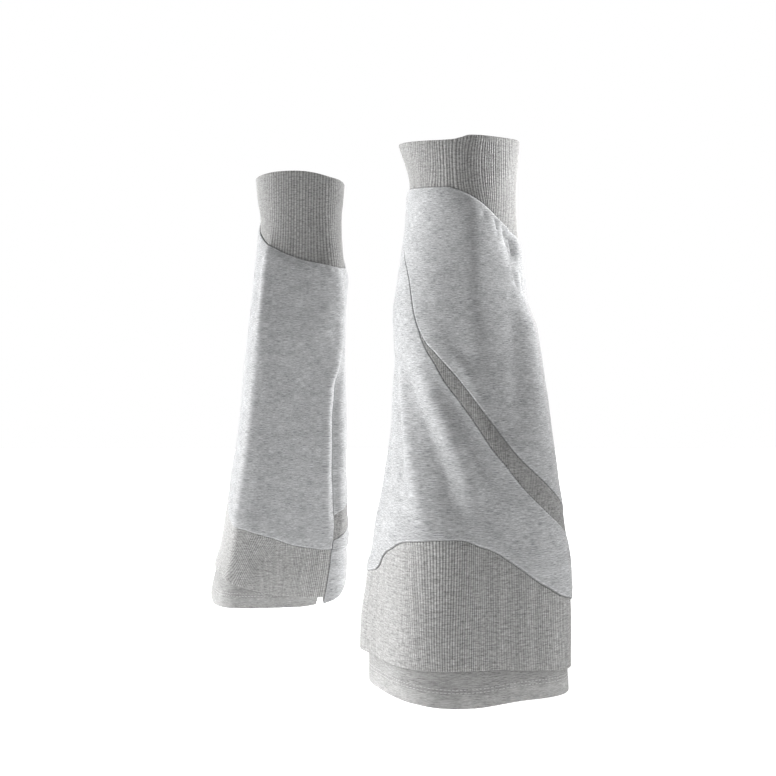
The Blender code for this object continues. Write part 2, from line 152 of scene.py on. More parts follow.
FAR_FORM = named(FORM_COLUMNS, (
    (0.000, -0.010, 0.076, 0.072, 0.081, 3.8, 8),
    (0.030, -0.007, 0.073, 0.071, 0.081, 3.8, 8),
    (0.060, -0.003, 0.068, 0.068, 0.078, 3.8, 8),
    (0.110, 0.001, 0.064, 0.064, 0.073, 3.7, 8),
    (0.150, 0.004, 0.060, 0.060, 0.069, 3.6, 7),
    (0.205, 0.009, 0.057, 0.056, 0.064, 3.5, 6),
    (0.260, 0.011, 0.053, 0.053, 0.060, 3.3, 5),
    (0.315, 0.014, 0.051, 0.051, 0.056, 3.0, 4),
    (0.368, 0.017, 0.048, 0.050, 0.051, 2.7, 3),
    (0.422, 0.018, 0.045, 0.046, 0.047, 2.2, 2),
    (0.450, 0.018, 0.048, 0.048, 0.048, 2.1, 0),
    (0.480, 0.018, 0.051, 0.051, 0.050, 2.1, 0),
))

# How far the lengthwise seam leans round the leg
LEAN = named(
    ("height", "angle"),
    ((0.000, 8), (0.060, 5), (0.100, 2), (0.190, 3), (0.235, 1), (0.275, -11), (0.335, -25), (0.480, -28)),
)

# A fold runs from its top to its foot, bowed sideways in between. Ridges stand out, troughs in.
FOLD_FADE = 0.7  # under 1, a fold is deep along more of its length
FOLD_COLUMNS = ("top_angle", "top_height", "foot_angle", "foot_height", "bow", "half_width", "depth")

NEAR_FOLDS = named(FOLD_COLUMNS, (
    (-76, 0.290, -27, 0.140, 3.5, 0.0080, 0.0036),
    (-66, 0.300, -4, 0.135, 7, 0.0115, -0.0056),
    (-42, 0.292, 6, 0.170, 2, 0.0080, 0.0030),
    (-25, 0.276, 21, 0.164, 0, 0.0115, -0.0043),
    (-2, 0.264, 40, 0.168, 0, 0.0070, 0.0020),
    (-92, 0.285, -98, 0.090, 2, 0.014, 0.0035),
    (-100, 0.115, -94, -0.020, 0, 0.022, 0.0055),
    (6, 0.425, 6, 0.245, 2, 0.012, 0.0026),
    (40, 0.352, 34, 0.228, 0, 0.0115, -0.0040),
    (28, 0.200, 38, 0.138, 0, 0.0130, -0.0022),
    (84, 0.366, 82, 0.262, 0, 0.0180, -0.0024),
    (156, 0.400, 156, 0.070, 0, 0.006, 0.0020),
    (142, 0.390, 142, 0.080, 0, 0.007, -0.0030),
    (-150, 0.330, -170, 0.130, 4, 0.018, -0.0030),
    (-128, 0.300, -140, 0.120, 4, 0.014, 0.0025),
    (108, 0.300, 96, 0.120, 0, 0.016, 0.0025),
))

FAR_FOLDS = named(FOLD_COLUMNS, (
    (-128, 0.420, -130, -0.100, 0, 0.007, 0.0022),
    (158, 0.300, 157, 0.072, 0, 0.0045, 0.0020),
    (149, 0.310, 149, 0.068, 0, 0.0080, -0.0052),
    (-124, 0.418, -129, 0.290, 0, 0.0040, 0.0022),
    (173, 0.378, 154, 0.250, 0, 0.0095, 0.0032),
    (-196, 0.330, -176, 0.180, 4, 0.016, -0.0018),
    (-60, 0.290, -28, 0.150, 4, 0.012, 0.0035),
    (-36, 0.280, -4, 0.150, 0, 0.013, -0.0040),
    (36, 0.400, 30, 0.230, -3, 0.012, 0.0022),
))

# Smaller creases, on the jersey only. Both legs have some by the cuff and above the strip's start,
# and a few at the back
WRAP_CREASES = (
    (29, 0.413, 34, 0.395, 0, 0.0030, -0.0018),
    (38, 0.407, 43, 0.387, 0, 0.0030, -0.0020),
    (17, 0.420, 19, 0.408, 0, 0.0030, -0.0008),
    (46, 0.403, 49, 0.372, 0, 0.0080, -0.0036),
    (-28, 0.345, -4, 0.280, 0, 0.0100, -0.0011),
    (-16, 0.302, 17, 0.245, 0, 0.0055, 0.0017),
    (100, 0.376, 92, 0.330, 0, 0.0060, -0.0018),
    (116, 0.372, 112, 0.342, 0, 0.0040, 0.0012),
)

NEAR_CREASES = named(FOLD_COLUMNS, WRAP_CREASES + (
    (-112, 0.392, -104, 0.366, 0, 0.0040, -0.0014),
    (-124, 0.386, -120, 0.350, 1, 0.0050, 0.0012),
    (-160, 0.250, -130, 0.196, 2, 0.0060, -0.0016),
    (168, 0.366, 160, 0.330, 0, 0.0040, 0.0012),
    (46, 0.372, 50, 0.352, 0, 0.0026, -0.0007),
    (53, 0.368, 55, 0.350, 0, 0.0024, 0.0007),
    (60, 0.366, 61, 0.346, 0, 0.0026, -0.0007),
    (-82, 0.310, -50, 0.170, 2, 0.0060, -0.0022),
    (-90, 0.290, -66, 0.160, 2, 0.0070, 0.0016),
))

FAR_CREASES = named(FOLD_COLUMNS, WRAP_CREASES + (
    (192, 0.326, 153, 0.253, -1, 0.0050, 0.0018),
    (183, 0.340, 160, 0.296, 0, 0.0040, 0.0007),
    (189, 0.362, 178, 0.296, -2, 0.0070, 0.0024),
    (178, 0.379, 176, 0.360, 0, 0.0028, 0.0013),
    (170, 0.379, 171, 0.362, 0, 0.0028, 0.0010),
    (150, 0.1865, 134, 0.174, 0, 0.0035, 0.0010),
    (148, 0.102, 146, 0.074, 0, 0.0018, 0.0010),
    (144, 0.100, 141, 0.075, 0, 0.0018, 0.0009),
))


def line(*rows):
    """A seam or hem line, by cut angle."""
    return named(("angle", "height"), rows)


@dataclass
class LegWarmer:
    """One of the pair: where it stands, how it is turned, and the lines it is cut along."""

    name: str
    place: tuple
    facing: float  # draped angle of cut angle 0
    side: int  # 1 as cut, -1 mirrored
    form: dict
    folds: dict
    creases: dict
    cuff_top: dict
    cuff_seam: dict
    band_seam: dict
    band_hem: dict
    under_hem: dict
    cuff_leans: tuple  # rows for rib_lean
    band_leans: tuple
    seed: int


# The wrap panel's lower edge from its point to the back seam, and how far below it the strip ends
WRAP_EDGE = line(
    (-87, 0.425), (-80, 0.402), (-68, 0.380), (-58, 0.366), (-48, 0.345), (-40, 0.316), (-28, 0.298),
    (-4, 0.267), (18, 0.231), (46, 0.194), (68, 0.170), (90, 0.148), (120, 0.122), (150, 0.101),
)
STRIP_DROP = line((-40, 0.002), (-32, 0.007), (-14, 0.0165), (20, 0.0195), (64, 0.0255), (150, 0.026))

# The insert's hem, rising from the lengthwise seam
INSERT_HEM = line((105, 0.0235), (122, 0.0265), (131, 0.020), (138, 0.0125), (150, 0.007))

NEAR = LegWarmer(
    name="near",
    place=(0.0, 0.0),
    facing=0.0,
    side=1,
    form=NEAR_FORM,
    folds=NEAR_FOLDS,
    creases=NEAR_CREASES,
    cuff_top=line(
        (-90, 0.4765), (-30, 0.4768), (-12, 0.4773), (0, 0.4792), (10, 0.4812), (40, 0.480), (90, 0.479),
    ),
    cuff_seam=line(
        (-90, 0.438), (-20, 0.438), (-8, 0.436), (3, 0.432), (16, 0.4255), (42, 0.408), (68, 0.395),
        (90, 0.387), (150, 0.376), (200, 0.385), (240, 0.412),
    ),
    band_seam=line(
        (-100, 0.102), (-86, 0.106), (-76, 0.112), (-71, 0.121), (-60, 0.129), (-35, 0.140), (-16, 0.142),
        (4, 0.136), (26, 0.121), (48, 0.100), (68, 0.087), (150, 0.066), (210, 0.078),
    ),
    band_hem=line((-90, 0.034), (0, 0.0335), (40, 0.030), (70, 0.0255), (105, 0.0235), (150, 0.0145)),
    under_hem=line(
        (-90, 0.005), (-58, 0.006), (-34, 0.0045), (-18, 0.002), (0, 0.001), (38, 0.0045), (75, 0.004),
        (88, 0.006), (110, 0.028), (124, 0.030), (138, 0.016), (148, 0.0095), (155, 0.0055), (200, 0.0035),
    ),
    cuff_leans=(
        (-50, 24, 0.447, 0.30, 0),
        (10, 22, 0.452, 0, 0.0065),
        (105, 30, 0.445, -0.08, 0),
        (175, 40, 0.430, 0.15, 0),
    ),
    band_leans=((-46, 22, 0.085, -0.12, 0), (60, 30, 0.070, 0.04, 0), (-170, 40, 0.050, 0.12, 0)),
    seed=11,
)

FAR = LegWarmer(
    name="far",
    place=STRIDE,
    facing=195.0,
    side=-1,
    form=FAR_FORM,
    folds=FAR_FOLDS,
    creases=FAR_CREASES,
    cuff_top=line((-81, 0.475), (0, 0.474), (112, 0.469), (169, 0.474), (209, 0.481)),
    cuff_seam=line(
        (-86, 0.4155), (-70, 0.422), (-48, 0.432), (0, 0.436), (45, 0.410), (90, 0.388), (125, 0.377),
        (156, 0.375), (189, 0.381), (212, 0.389), (226, 0.396), (244, 0.4035), (256, 0.4085),
    ),
    band_seam=line(
        (-60, 0.130), (-16, 0.141), (45, 0.104), (90, 0.078), (145, 0.066), (169, 0.069), (201, 0.080),
        (222, 0.088), (234, 0.092), (261, 0.113),
    ),
    band_hem=line(
        (-60, 0.036), (0, 0.033), (105, 0.0235), (150, 0.0145), (175, 0.0165), (218, 0.027), (245, 0.036),
    ),
    under_hem=line(
        (-90, 0.003), (0, 0.003), (88, 0.006), (110, 0.028), (124, 0.030), (138, 0.016), (148, 0.0095),
        (155, 0.0060), (172, 0.0040), (210, 0.0035),
    ),
    cuff_leans=((165, 20, 0.445, 0.03, 0), (236, 26, 0.450, -0.04, 0), (20, 40, 0.445, 0.06, 0)),
    band_leans=((218, 26, 0.060, 0.45, 0), (20, 40, 0.080, -0.10, 0)),
    seed=29,
)
PAIR = (NEAR, FAR)


# --- Sizes and colours that a user would change ---------------------------------------------------


def linear(colour_hex):
    """An sRGB hex colour as linear red, green and blue."""
    parts = [int(colour_hex[k : k + 2], 16) / 255 for k in (0, 2, 4)]
    return [c / 12.92 if c <= 0.04045 else ((c + 0.055) / 1.055) ** 2.4 for c in parts]


def size_of(name, description, default):
    return FloatProperty(name=name, description=description, default=default, unit="LENGTH")


def colour_of(name, description, colour_hex):
    default = linear(colour_hex)
    return FloatVectorProperty(name=name, description=description, default=default, subtype="COLOR")


class ClothSizes(bpy.types.PropertyGroup):
    """Thicknesses of the cloths and how finely they are made."""

    jersey: size_of("Jersey thickness", "Brushed-back sweatshirt jersey", 1.8 * MM)
    rib: size_of("Rib knit thickness", "To the top of its ribs", 2.0 * MM)
    cuff_rib: size_of("Cuff thickness", "Rib knit folded double", 3.0 * MM)
    rib_relief: size_of("Rib relief", "From groove to rib top on the band", 0.45 * MM)
    cuff_relief: size_of("Cuff rib relief", "From groove to rib top on the cuff", 0.55 * MM)
    cuff_ribs: IntProperty(name="Ribs round a cuff", description="One for each pair of wales", default=126)
    band_ribs: IntProperty(name="Ribs round a hem band", description="As if it went all round", default=284)
    strip_ribs: IntProperty(name="Ribs round a strip", description="As if it went all round", default=300)
    roll: size_of("Seam roll", "How far a seam edge rolls in", 1.7 * MM)


class ClothColours(bpy.types.PropertyGroup):
    """The two yarns of each heather cloth, the thread and the floor."""

    jersey_light: colour_of("Jersey, light fibre", "Undyed cotton in the jersey", "D5D6D7")
    jersey_dark: colour_of("Jersey, grey fibre", "Dyed fibre in the jersey", "868789")
    rib_light: colour_of("Rib, light fibre", "Undyed cotton in the rib knit", "D0D0CF")
    rib_dark: colour_of("Rib, grey fibre", "Dyed fibre in the rib knit", "898887")
    thread: colour_of("Sewing thread", "Polyester thread of the hem", "DEDEDE")
    floor: colour_of("Studio floor", "Matt white sweep", "F4F4F4")


# --- The form -------------------------------------------------------------------------------------


def smooth(stations, values, where):
    """A cubic through the values that never swings past them."""
    step = np.diff(stations)
    rise = np.diff(values) / step
    slope = np.zeros(len(values))
    steady = rise[:-1] * rise[1:] > 0
    slope[1:-1][steady] = 2 / (1 / rise[:-1][steady] + 1 / rise[1:][steady])
    slope[0], slope[-1] = rise[0], rise[-1]
    k = np.clip(np.searchsorted(stations, where) - 1, 0, len(step) - 1)
    t = (where - stations[k]) / step[k]
    start = values[k] + t * step[k] * slope[k]
    end = values[k + 1] - (1 - t) * step[k] * slope[k + 1]
    ease = t * t * (3 - 2 * t)
    return start * (1 - ease) + end * ease


def round_line(seam, angle):
    """The height of a line that closes on itself round the leg."""
    stations = np.concatenate([seam["angle"] - TURN, seam["angle"], seam["angle"] + TURN])
    first = seam["angle"][0]
    return smooth(stations, np.tile(seam["height"], 3), np.mod(angle - first, TURN) + first)


def open_line(seam, angle):
    """The height of a line that runs from its first angle to its last."""
    return smooth(seam["angle"], seam["height"], np.clip(angle, seam["angle"][0], seam["angle"][-1]))


def aside(angle, middle):
    """How far an angle is from another, the short way round."""
    return (angle - middle + TURN / 2) % TURN - TURN / 2


def fold_relief(folds, angle, height, radius):
    """How far the folds move the cloth out at a cut angle and height."""
    relief = np.zeros_like(height)
    for top_angle, top, foot_angle, foot, bow, half_width, depth in zip(*folds.values()):
        down = (top - height) / (top - foot)
        inside = np.clip(down, 0, 1)
        middle = top_angle + (foot_angle - top_angle) * inside + bow * np.sin(math.pi * inside)
        across = np.radians(aside(angle, middle)) * radius / half_width
        fade = np.where((down > 0) & (down < 1), np.sin(math.pi * inside) ** FOLD_FADE, 0)
        relief = relief + depth * fade * np.exp(-(across**2))
    return relief


def draped_face(leg, cut_angle, height, folds):
    """Points of the cloth's face at a cut angle and height, on the line of the cuff."""
    hold = np.cos(math.pi / 2 * np.clip(aside(cut_angle, BACK_SEAM) / LEAN_REACH, -1, 1)) ** 2
    lean = smooth(LEAN["height"], LEAN["angle"], height) * hold
    angle = leg.facing + leg.side * (cut_angle + lean)
    centre_x, left, right, deep, power, turn = (
        smooth(leg.form["height"], leg.form[column], height) for column in FORM_COLUMNS[1:]
    )
    turned = np.radians(angle - turn)
    wide = np.where(np.sin(turned) < 0, left, right)
    radius = ((abs(np.sin(turned)) / wide) ** power + (abs(np.cos(turned)) / deep) ** power) ** (-1 / power)
    for group in folds:
        radius = radius + fold_relief(group, cut_angle, height, radius)
    x = centre_x + radius * np.sin(np.radians(angle))
    y = -radius * np.cos(np.radians(angle))
    return np.stack([x, y, height], axis=-1)


def cloth(leg, cut_angle, height, outward, folds):
    """Points on the cloth at a cut angle and height, moved out along its normal."""

    def face(turned=0.0, raised=0.0):
        return draped_face(leg, cut_angle + turned, height + raised, folds)

    along = face(turned=NORMAL_TURN) - face(turned=-NORMAL_TURN)
    up = face(raised=NORMAL_RISE) - face(raised=-NORMAL_RISE)
    normal = np.cross(along, up) * leg.side
    normal /= np.linalg.norm(normal, axis=-1, keepdims=True)
    return face() + normal * outward[..., None] + [*leg.place, -HOLD_HEIGHT]


def ripple(leg, cut_angle, height, size):
    """The slight unevenness of cloth that has been worn: a few seeded waves round and along it."""
    rng = np.random.default_rng(leg.seed)
    wave = np.zeros_like(height)
    for _ in range(14):
        turns, along = rng.integers(-9, 10), rng.uniform(-60, 60)
        phase, share = rng.uniform(0, 2 * math.pi), rng.uniform(0.4, 1)
        wave = wave + share * np.sin(turns * np.radians(cut_angle) + along * math.pi * height + phase)
    return size * wave / 4


# --- How far each piece's face stands out, and its painted shade ----------------------------------


def cuff_face(leg, angle, height):
    """The form is the cuff's own face."""
    return 0.0


def body_face(leg, angle, height):
    """A step at the cuff's seam, then a soft rise."""
    below = np.clip(round_line(leg.cuff_seam, angle) - height, 0, None)
    return BLOUSE * (1 - BLOUSE_HELD * np.exp(-((below / BLOUSE_DROP) ** 1.5)))


def strip_face(leg, angle, height):
    return body_face(leg, angle, height) - STRIP_SETBACK


def band_face(leg, angle, height):
    return BLOUSE - BAND_SETBACK


def under_face(leg, angle, height, rib):
    """From the under layer's seat in the band, which is as thick as its rib, down to its hem."""
    seat = BLOUSE - BAND_SETBACK - rib - UNDER_SEAT
    top = round_line(leg.band_seam, angle) - UNDER_TUCK
    hang = np.clip((top - height) / UNDER_HANG_DROP, 0, 1)
    return seat - UNDER_HANG * hang


def band_puff(leg, angle, height):
    """The body puffs out just above the band."""
    above = height - round_line(leg.band_seam, angle) - PUFF_RISE
    return PUFF * np.exp(-((above / PUFF_REACH) ** 2))


def stitched(above, width):
    """How near a height above the hem, in millimetres, is to a row of stitches."""
    return sum(np.exp(-(((above - row / MM) / width) ** 2)) for row in STITCH_ROWS)


def hem_relief(leg, angle, height):
    """The turned hem stands out a little up to its stitches, which press the cloth in."""
    above = (height - round_line(leg.under_hem, angle)) / MM
    turned_up = HEM_FOLD / (1 + np.exp((above - STITCH_ROWS[-1] / MM - 0.6) / 0.5))
    return turned_up - STITCH_PRESS * stitched(above, 0.9)


def painted_hem_shade(leg, angle, height):
    """Painted shade: the cloth is darker along the stitches, where they press it in, and up under the band,
    in its shade.
    """
    above = (height - round_line(leg.under_hem, angle)) / MM
    under_band = 1 / (1 + np.exp((STITCH_ROWS[-1] / MM + 1 - above) / 0.6))
    return (1 - STITCH_SHADE * stitched(above, 1.1)) * (1 - UNDER_BAND_SHADE * under_band)


def painted_pinch_shade(leg, angle, height):
    """Painted shade: the panel is darker where it is pinched and little light gets in."""
    across = (angle - PINCH_ANGLE) / PINCH_WIDTH
    up = (height - round_line(leg.cuff_seam, angle) + PINCH_DROP) / PINCH_HEIGHT
    return 1 - PINCH_SHADE * np.exp(-((across**2 + up**2) ** 2))


# --- Walls of cloth -------------------------------------------------------------------------------


@dataclass
class Edge:
    """How a wall's edge is finished: how far the cloth rolls, and how deep the face sinks there."""

    reach: float
    sink: float  # share of the thickness
    shade: float = 0.0  # painted shade: how dark the last of it is, in the ditch of a seam


@dataclass
class Ribs:
    """Ribs along a wall: how many go round the leg, how high they stand, and how they waver."""

    count: int
    relief: float
    seed: int
    leans: tuple = ()  # rows for rib_lean


@dataclass
class Wall:
    """One cut piece, from its lower line to its upper one. Its functions take leg, angle and height."""

    columns: np.ndarray  # cut angles
    lower: np.ndarray
    upper: np.ndarray
    face: object  # how far its face stands out
    thickness: float
    edges: tuple  # the lower one, the upper one and, if it isn't a tube, the two ends
    row_step: float = 2.4 * MM
    inner_rows: int = 8
    ribs: Ribs = None
    folds: tuple = ()
    extra: object = None  # more relief on the face
    painted_shade: object = None  # and painted shade: how dark it is there
    uneven: float = UNEVEN


STRIP_SIDE = Edge(1.5 * MM, 0.5, 0.5)
STRIP_END = Edge(0.8 * MM, 0.5, 0.5)
BAND_TOP = Edge(2.2 * MM, 0.5, 0.5)
BAND_END = Edge(1.2 * MM, 0.7, 0.4)


def rolled(distance, reach):
    """1 at an edge, falling to 0 at its reach."""
    return np.clip(1 - distance / reach, 0, 1)


def rib_lean(rows, angle, height):
    """How far ribs drift round the leg, in degrees. Each row has the middle and reach of a place in
    cut angles, the height where its ribs are upright, and their slope and bend from there."""
    lean = 1.7 * np.sin(4 * np.radians(angle - 25))
    for middle, reach, level, slope, bend in rows:
        near = np.exp(-((aside(angle, middle) / reach) ** 2))
        up = (height - level) / MM
        lean = lean - near * (slope * up + bend * up**2)
    return lean


def rib_profile(ribs, angle, height):
    """Height of the ribs, 0 in a groove and 1 on a crown, with small seeded differences."""
    rng = np.random.default_rng(ribs.seed)
    place = (angle + rib_lean(ribs.leans, angle, height)) * ribs.count / TURN
    for _ in range(5):
        turns, size, phase = rng.integers(5, 40), rng.uniform(0.02, 0.07), rng.uniform(0, 2 * math.pi)
        place = place + size * np.sin(turns * np.radians(angle) + rng.uniform(-25, 25) * height + phase)
    heights = rng.uniform(0.78, 1.0, ribs.count + 8)
    which = np.floor(place).astype(int) % len(heights)
    return np.abs(np.sin(math.pi * place)) ** 0.75 * heights[which]


def rows_of(wall):
    """The heights of a wall's points, by column, and how near they are to its lower and upper edges."""
    lower, upper = wall.lower[:, None], wall.upper[:, None]
    arc = np.radians(wall.columns) * SEAM_RADIUS
    slope_low, slope_high = (
        np.sqrt(1 + np.gradient(edge, arc) ** 2)[:, None] for edge in (wall.lower, wall.upper)
    )
    low, high = wall.edges[0].reach * slope_low, wall.edges[1].reach * slope_high
    shrink = np.minimum(1, (upper - lower) / ((low + high) * EDGE_ROOM))
    low_rows = lower + EDGE_STEPS * (low * shrink)
    high_rows = upper - EDGE_STEPS[::-1] * (high * shrink)
    count = max(3, int((upper - lower).max() / wall.row_step))
    between = np.linspace(0, 1, count + 2)[1:-1]
    middle_rows = low_rows[:, -1:] + (high_rows[:, :1] - low_rows[:, -1:]) * between
    height = np.hstack([low_rows, middle_rows, high_rows])
    near_low = rolled((height - lower) / slope_low, wall.edges[0].reach * shrink)
    near_high = rolled((upper - height) / slope_high, wall.edges[1].reach * shrink)
    return height, [near_low, near_high]


def painted_seam_shade_and_highlight(nears, edges):
    """Painted shade, dark in the ditch of a seam, and a painted highlight, paler beside it on its rolled
    edge.
    """
    painted_ditch_shade = painted_highlight = 0
    for near, edge in zip(nears, edges):
        painted_ditch_shade = np.maximum(painted_ditch_shade, edge.shade * np.clip((near - DITCH_START) / DITCH_RUN, 0, 1))
        if edge.shade > 0:
            painted_highlight = np.maximum(painted_highlight, np.exp(-(((near - HIGHLIGHT_PLACE) / HIGHLIGHT_WIDTH) ** 2)))
    return 1 - painted_ditch_shade + PAINTED_HIGHLIGHT * painted_highlight


def shell_faces(outer, inner, kept, tube, flip):
    """The faces of a closed wall, from the numbers of its outer and inner points."""

    def strips(index, flip):
        left = index if tube else index[:-1]
        right = np.roll(index, -1, axis=0) if tube else index[1:]
        quads = np.stack([left[:, :-1], right[:, :-1], right[:, 1:], left[:, 1:]], axis=-1)
        return quads[..., ::-1] if flip else quads

    inside = strips(inner, not flip)
    if not tube:
        inside = inside[1:-1]
    faces = [*strips(outer, flip).reshape(-1, 4).tolist(), *inside.reshape(-1, 4).tolist()]
    for end, beside in () if tube else ((0, 1), (-1, -2)):
        for row in range(len(kept) - 1):
            chain = outer[end, kept[row] : kept[row + 1] + 1].tolist()
            ring = [inner[beside, row + 1], inner[beside, row]] + chain
            faces.append(ring if (end == 0) != flip else ring[::-1])
    return faces


def new_piece(name, points, faces, material):
    """A smooth piece of those points and faces."""
    if not faces:
        raise RuntimeError(f"{name} has no faces")
    data = bpy.data.meshes.new(name)
    data.from_pydata(points.tolist(), [], faces)
    data.shade_smooth()
    data.materials.append(material)
    piece = bpy.data.objects.new(name, data)
    bpy.context.scene.collection.objects.link(piece)
    return piece


def lay(name, leg, wall, material):
    """A wall as a closed shell with rolled edges, its UV map in metres."""
    tube = len(wall.edges) == 2
    height, nears = rows_of(wall)
    angle = wall.columns[:, None] + 0 * height
    if not tube:
        radius = np.linalg.norm(draped_face(leg, angle, height, ())[..., :2], axis=-1)
        from_end = np.minimum(abs(angle - wall.columns[0]), abs(wall.columns[-1] - angle))
        nears.append(rolled(np.radians(from_end) * radius, wall.edges[2].reach))

    # The face falls on a quarter circle at an edge, down to its sink
    total = sum(near**2 for near in nears)
    fall = 1 - np.sqrt(1 - np.minimum(1, total))
    sink = sum(near**2 * edge.sink for near, edge in zip(nears, wall.edges)) / (total + 1e-9)
    flat = wall.face(leg, angle, height) + ripple(leg, angle, height, wall.uneven)
    outward = flat - wall.thickness * sink * fall
    inward = flat - wall.thickness + wall.thickness * (1 - sink) * fall
    # Painted shade in the seams' ditches and a painted highlight beside them, times the wall's own painted
    # shade
    tone_and_painted_shade, inside_tone = painted_seam_shade_and_highlight(nears, wall.edges), 1.0
    if wall.painted_shade is not None:
        tone_and_painted_shade = tone_and_painted_shade * wall.painted_shade(leg, angle, height)
    if wall.ribs is not None:
        crown = rib_profile(wall.ribs, angle, height)
        outward = outward - wall.ribs.relief * (1 - crown) * (1 - fall)
        # and painted shade in the ribs' grooves
        tone_and_painted_shade, inside_tone = crown * tone_and_painted_shade, RIB_INSIDE_TONE
    if wall.extra is not None:
        outward = outward + wall.extra(leg, angle, height)

    # The inner side has fewer rows, and shares the points of the edges
    columns, rows = height.shape
    by_edge = np.array([0, 2, 4, 6])
    between = np.linspace(6, rows - 7, wall.inner_rows).astype(int)
    kept = np.unique(np.concatenate([by_edge, between, rows - 1 - by_edge]))
    outer_index = np.arange(columns * rows).reshape(columns, rows)
    inner_index = outer_index[:, kept]
    free = np.zeros(inner_index.shape, bool)
    free[:, 1:-1] = True
    if not tube:
        free[[0, -1]] = False
    inner_index[free] = outer_index.size + np.arange(free.sum())

    def all_points(outer, inner):
        return np.concatenate([outer.reshape(-1, *outer.shape[2:]), inner[free]])

    outer = cloth(leg, angle, height, outward, wall.folds)
    inner = cloth(leg, angle[:, kept], height[:, kept], inward[:, kept], wall.folds)
    faces = shell_faces(outer_index, inner_index, kept, tube, leg.side < 0)
    piece = new_piece(name, all_points(outer, inner), faces, material)

    data, around = piece.data, np.radians(angle) * SEAM_RADIUS
    corners = np.zeros(len(data.loops), np.int32)
    data.loops.foreach_get("vertex_index", corners)
    u = all_points(around, around[:, kept])[corners]
    v = all_points(height, height[:, kept])[corners]
    if tube:
        # Faces across the join go on past a full turn
        turn, u = math.radians(TURN) * SEAM_RADIUS, u.reshape(-1, 4)
        u = np.where(u.max(axis=1, keepdims=True) - u > turn / 2, u + turn, u).ravel()
    layer = data.uv_layers.new(name="cloth")
    layer.data.foreach_set("uv", np.stack([u, v], -1).ravel().astype(np.float32))
    tones = all_points(tone_and_painted_shade, np.full(inner_index.shape, inside_tone))
    data.attributes.new("cloth_tone", "FLOAT", "POINT").data.foreach_set("value", tones.astype(np.float32))
    return piece


# --- Materials ------------------------------------------------------------------------------------

V_SLANT = 1.4  # how steeply the legs of a stitch's V climb, in courses by the wale
FLOOR_GLOWS = ((-0.9, -0.5, 0.12, 0.6), (0.0, 2.2, 0.0, 0.5))  # along Y: from, to, glow there


def add_node(tree, kind, links, output=0, **settings):
    """Adds a node with its settings, links or fills its inputs, and gives one of its outputs."""
    node = tree.nodes.new(f"ShaderNode{kind}")
    for name, value in settings.items():
        setattr(node, name, value)
    for socket, value in links.items():
        if isinstance(value, bpy.types.NodeSocket):
            tree.links.new(value, node.inputs[socket])
        else:
            node.inputs[socket].default_value = value
    return node.outputs[output]


def new_material(name, sockets):
    """A material, its node tree and its shader, whose constant sockets are filled."""
    material = bpy.data.materials.new(name)
    material.use_nodes = True
    shader = material.node_tree.nodes["Principled BSDF"]
    for socket, value in sockets.items():
        shader.inputs[socket].default_value = value
    return material, material.node_tree, shader


def cotton(name, roughness, sheen):
    """Cotton, and its place on the cloth: no gloss to speak of, and a soft sheen of loose fibre."""
    sockets = {"Roughness": roughness, "Specular IOR Level": 0.25}
    sockets |= {"Sheen Weight": sheen, "Sheen Roughness": 0.55}
    material, tree, shader = new_material(name, sockets)
    return material, tree, shader, add_node(tree, "UVMap", {}, uv_map="cloth")


def overlaid(tree, base, *patterns):
    """A base value with patterns laid over it, each by its weight."""
    for pattern, weight in patterns:
        base = add_node(tree, "Math", {0: pattern, 1: weight, 2: base}, operation="MULTIPLY_ADD")
    return base


def heather_streaks(tree, place, wide, tall, detail=2.0):
    """Short streaks along the courses, where a dyed fibre shows: wide by tall in metres."""
    scaled = add_node(tree, "Mapping", {"Vector": place, "Scale": (1 / wide, 1 / tall, 1)})
    noise = {"Vector": scaled, "Scale": 1.0, "Detail": detail, "Roughness": 0.6}
    return add_node(tree, "TexNoise", noise, noise_dimensions="2D")


def knit_stitches(tree, place, wale, course):
    """Height of a plain knit face: rows of small Vs, a wale wide and a course high."""
    across = add_node(tree, "SeparateXYZ", {"Vector": place}, "X")
    up = across.node.outputs["Y"]
    wales = add_node(tree, "Math", {0: across, 1: wale}, operation="DIVIDE")
    leg_of_v = add_node(tree, "Math", {0: wales, 1: 0.5}, operation="PINGPONG")
    slanted = overlaid(tree, 0.0, (up, 2 * math.pi / course), (leg_of_v, 2 * math.pi * V_SLANT))
    stitch = add_node(tree, "Math", {0: slanted}, operation="SINE")
    return overlaid(tree, 0.0, (stitch, 0.35), (leg_of_v, 2.0))


def heather_colour(tree, shader, shade, yarns, tones):
    """From the dyed yarn to the undyed one by shade, times the cloth's painted shade and highlight, spread
    over tones.
    """
    (dark, light), (darkest, lightest, lightest_at) = yarns, tones
    yarn = add_node(tree, "Mix", {"Factor": shade, 6: (*dark, 1), 7: (*light, 1)}, 2, data_type="RGBA")
    tone_and_painted_shade = add_node(tree, "Attribute", {}, "Fac", attribute_name="cloth_tone")
    stretch = {"Value": tone_and_painted_shade, "From Max": lightest_at, "To Min": darkest, "To Max": lightest}
    spread = add_node(tree, "MapRange", stretch, clamp=False)
    toned = add_node(tree, "VectorMath", {0: yarn, "Scale": spread}, operation="SCALE")
    tree.links.new(toned, shader.inputs["Base Color"])


